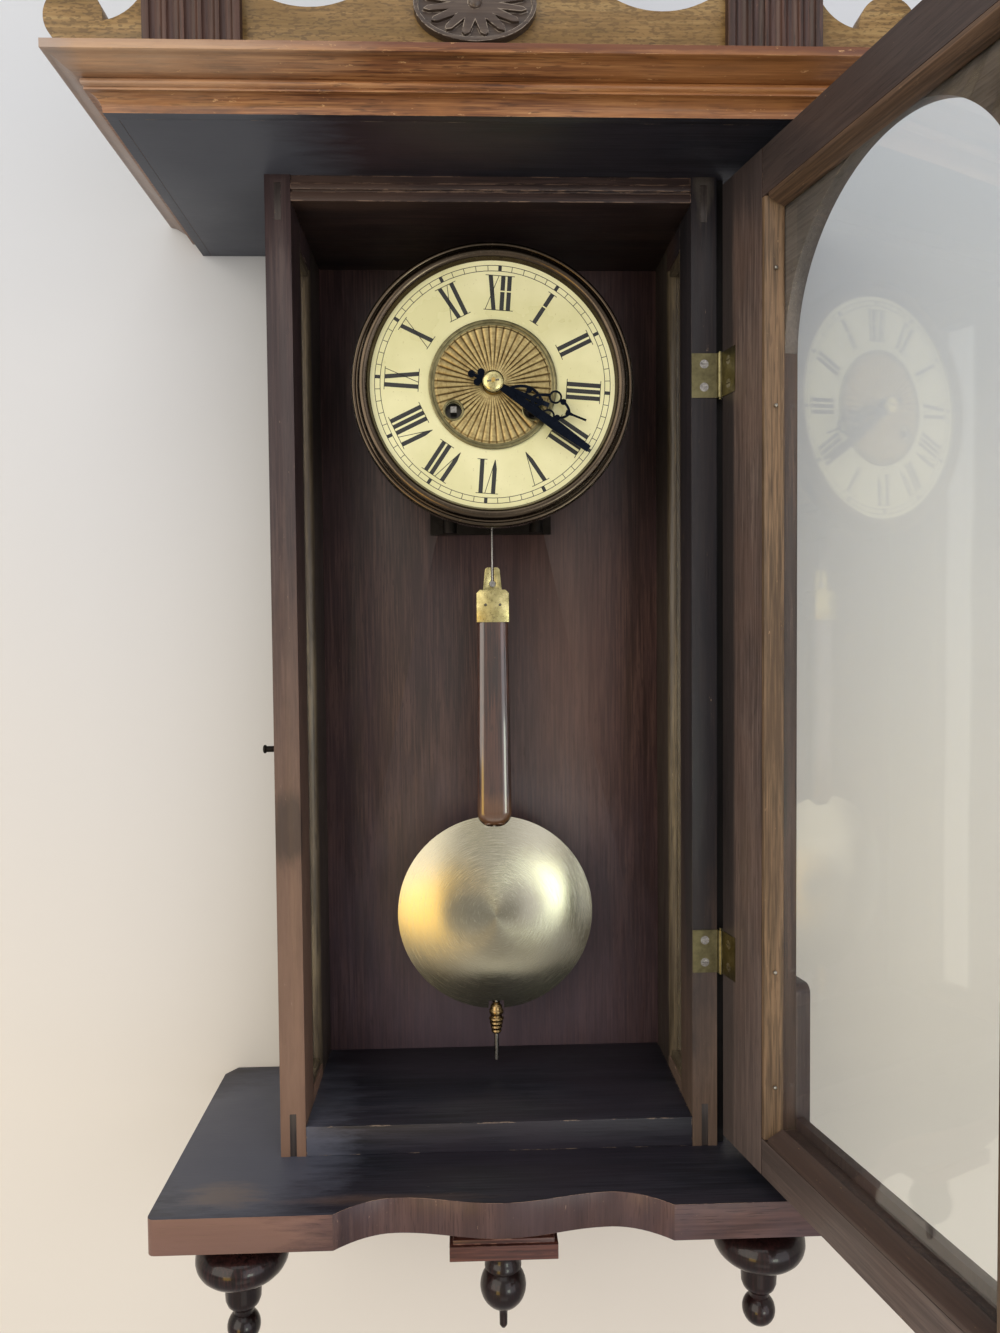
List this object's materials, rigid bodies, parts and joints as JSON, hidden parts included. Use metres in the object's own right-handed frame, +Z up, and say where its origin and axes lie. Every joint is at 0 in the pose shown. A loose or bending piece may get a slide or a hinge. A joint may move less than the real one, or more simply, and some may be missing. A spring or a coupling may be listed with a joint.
{
  "type": "vienna regulator clock",
  "caption": "Wall clock with a glazed arched door, a moulded cornice and shaped crest, a two-train spring movement, a round dial and a wood-stick pendulum with a round bob.",
  "frame": {"origin": "centre of the round hole of the hanger plate, on the wall plane", "axes": "+X to the clock's right as seen from the front, the clock faces -Y, +Z up; the wall is y = 0"},
  "size_m": [0.4462, 0.3832, 0.817],
  "materials": {
    "walnut": "polished, reddish brown",
    "dark_mahogany": "satin, dark red brown",
    "golden_wood": "polished, golden brown",
    "old_oak": "worn, dark brown",
    "raw_beech": "bare, unpolished",
    "stained_black": "gloss, nearly black",
    "brass": "aged, satin",
    "bright_brass": "brushed",
    "steel": "satin",
    "blued_steel": "blued",
    "iron": "blackened",
    "dial_enamel": "aged cream, gloss",
    "glass": "clear"
  },
  "bodies": {
    "case": {"front_stiles": "dark_mahogany", "rear_stiles": "dark_mahogany", "side_rails": "dark_mahogany", "side_glasses": "glass", "side_beads": "raw_beech", "top_board": "dark_mahogany", "floor_board": "dark_mahogany", "back_board": "dark_mahogany", "soffit_board": "old_oak", "cornice_moulding": "walnut", "base_board": "walnut", "drop_block": "stained_black", "bottom_finials": "stained_black", "crest_board": "golden_wood", "crest_blocks": "old_oak", "crest_medallion": "old_oak", "hanger_plate": "brass", "case_screws": "steel", "hinge_case_leaves": "brass", "catch_peg": "iron", "movement_bracket": "iron", "back_plate": "brass", "front_plate": "brass", "dial_plate": "dial_enamel", "dial_centre": "brass", "dial_bezel": "brass", "suspension_cock": "brass", "gong": "blued_steel"},
    "door": {"door_stiles": "old_oak", "door_rails": "old_oak", "door_arch_board": "old_oak", "door_glass": "glass", "door_beads": "raw_beech", "door_columns": "stained_black", "door_blocks": "old_oak", "hinge_door_leaves": "brass", "door_screws": "steel"},
    "hook": {"door_hook": "brass"},
    "minute_work": {"centre_wheel": "brass", "cannon_pinion": "steel", "minute_hand": "blued_steel", "hand_nut": "brass"},
    "hour_work": {"hour_wheel": "brass", "hour_hand": "blued_steel"},
    "minute_gear": {"minute_wheel": "brass"},
    "third_gear": {"third_wheel": "brass"},
    "escape_gear": {"escape_wheel": "brass"},
    "pallets": {"anchor": "steel"},
    "time_drum": {"time_barrel": "brass"},
    "time_key": {"time_winder": "steel"},
    "strike_drum": {"strike_barrel": "brass"},
    "strike_key": {"strike_winder": "steel"},
    "pin_gear": {"pin_wheel": "brass"},
    "hammer": {"gong_hammer": "steel"},
    "pendulum": {"pendulum_leader": "steel", "pendulum_cap": "brass", "pendulum_stick": "walnut", "pendulum_bob": "bright_brass", "rating_rod": "steel"},
    "nut": {"rating_nut": "brass"}
  },
  "joints": [
    {"name": "door_hinge", "type": "hinge", "parent": "case", "child": "door", "pos_m": [0.1341, -0.1225, -0.33], "axis": [0, 0, 1], "range_deg": [-103.3, 56.7]},
    {"name": "hook_swing", "type": "hinge", "parent": "door", "child": "hook", "pos_m": [0.206, -0.38099, -0.373], "axis": [-0.23, 0.9732, 0], "range_deg": [-30, 150]},
    {"name": "hands_turn", "type": "hinge", "parent": "case", "child": "minute_work", "pos_m": [0, -0.062, -0.154], "axis": [0, 1, 0], "continuous": true},
    {"name": "hour_turn", "type": "hinge", "parent": "case", "child": "hour_work", "pos_m": [0, -0.062, -0.154], "axis": [0, 1, 0], "continuous": true},
    {"name": "minute_gear_turn", "type": "hinge", "parent": "case", "child": "minute_gear", "pos_m": [0, -0.062, -0.172], "axis": [0, 1, 0], "continuous": true},
    {"name": "third_turn", "type": "hinge", "parent": "case", "child": "third_gear", "pos_m": [0.008, -0.062, -0.13523], "axis": [0, 1, 0], "continuous": true},
    {"name": "escape_turn", "type": "hinge", "parent": "case", "child": "escape_gear", "pos_m": [0, -0.062, -0.12138], "axis": [0, 1, 0], "continuous": true},
    {"name": "time_drum_turn", "type": "hinge", "parent": "case", "child": "time_drum", "pos_m": [0.024, -0.062, -0.1695], "axis": [0, 1, 0], "continuous": true},
    {"name": "time_wind", "type": "hinge", "parent": "case", "child": "time_key", "pos_m": [0.024, -0.062, -0.1695], "axis": [0, 1, 0], "continuous": true},
    {"name": "strike_drum_turn", "type": "hinge", "parent": "case", "child": "strike_drum", "pos_m": [-0.024, -0.062, -0.1695], "axis": [0, 1, 0], "continuous": true},
    {"name": "strike_wind", "type": "hinge", "parent": "case", "child": "strike_key", "pos_m": [-0.024, -0.062, -0.1695], "axis": [0, 1, 0], "continuous": true},
    {"name": "pin_turn", "type": "hinge", "parent": "case", "child": "pin_gear", "pos_m": [-0.018, -0.062, -0.14157], "axis": [0, 1, 0], "continuous": true},
    {"name": "hammer_swing", "type": "hinge", "parent": "case", "child": "hammer", "pos_m": [-0.044, -0.062, -0.146], "axis": [0, 1, 0], "range_deg": [-4.5, 12]},
    {"name": "pendulum_swing", "type": "hinge", "parent": "case", "child": "pendulum", "pos_m": [0, -0.05, -0.103], "axis": [0, 1, 0], "range_deg": [-1.5, 1.5]},
    {"name": "pallet_rock", "type": "hinge", "parent": "case", "child": "pallets", "pos_m": [0, -0.062, -0.103], "axis": [0, 1, 0], "range_deg": [-1.5, 1.5]},
    {"name": "nut_turn", "type": "hinge", "parent": "pendulum", "child": "nut", "pos_m": [0, -0.05, -0.5539], "axis": [0, 0, 1], "continuous": true}
  ],
  "couplings": [
    {"joint": "time_drum_turn", "follows": "hands_turn", "ratio": -0.18519},
    {"joint": "third_turn", "follows": "hands_turn", "ratio": -7.5},
    {"joint": "escape_turn", "follows": "hands_turn", "ratio": 52.5},
    {"joint": "minute_gear_turn", "follows": "hands_turn", "ratio": -0.33333},
    {"joint": "hour_turn", "follows": "hands_turn", "ratio": 0.083333},
    {"joint": "pin_turn", "follows": "strike_drum_turn", "ratio": -5.4},
    {"joint": "pallet_rock", "follows": "pendulum_swing", "ratio": 1}
  ]
}
